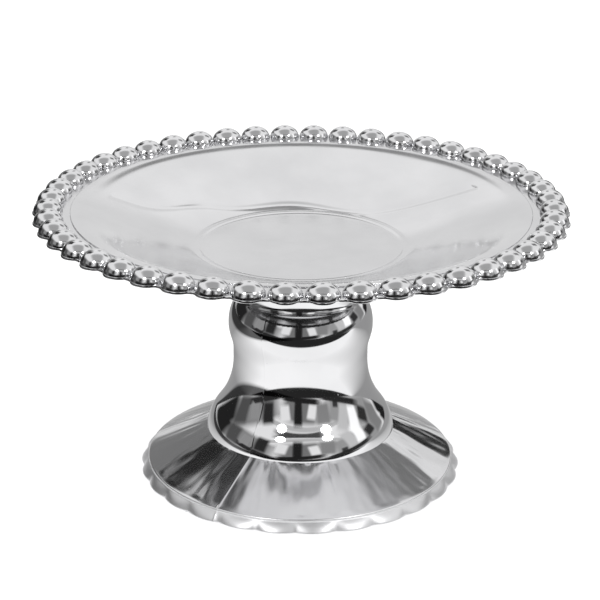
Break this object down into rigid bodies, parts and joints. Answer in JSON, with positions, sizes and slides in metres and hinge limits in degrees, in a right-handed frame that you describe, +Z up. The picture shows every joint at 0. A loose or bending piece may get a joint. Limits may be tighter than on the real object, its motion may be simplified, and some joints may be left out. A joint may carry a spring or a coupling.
{
  "type": "footed cake stand",
  "caption": "Footed cake stand in mirror silver: a shallow round dish with a beaded rim that screws onto a hollow, waisted pedestal with a lobed foot.",
  "frame": {"origin": "on the table, under the middle of the foot: the bottom centre of the bounding box", "axes": "+Z up along the stand's axis; -Y is the side nearest the viewer; the beads and lobes are spaced evenly round +Z"},
  "size_m": [0.2536, 0.2536, 0.1409],
  "materials": {
    "mirror_plastic": "vacuum-metallised mirror silver over moulded plastic",
    "grey_rubber": "smooth grey rubber",
    "clear_silicone": "cloudy clear silicone"
  },
  "bodies": {
    "pedestal": {"pedestal": "mirror_plastic", "foot_pad_1": "clear_silicone", "foot_pad_2": "clear_silicone", "foot_pad_3": "clear_silicone", "foot_pad_4": "clear_silicone"},
    "washer": {"sealing_washer": "grey_rubber"},
    "plate": {"dish_plate": "mirror_plastic"}
  },
  "joints": [
    {"name": "washer_lift", "type": "slide", "parent": "pedestal", "child": "washer", "axis": [0, 0, 1], "range_m": [0, 0.00901]},
    {"name": "plate_turn", "type": "hinge", "parent": "washer", "child": "plate", "pos_m": [0, 0, 0.1127], "axis": [0, 0, 1], "range_deg": [0, 540]}
  ],
  "couplings": [
    {"joint": "washer_lift", "follows": "plate_turn", "m_per_rad": 0.00095493}
  ]
}
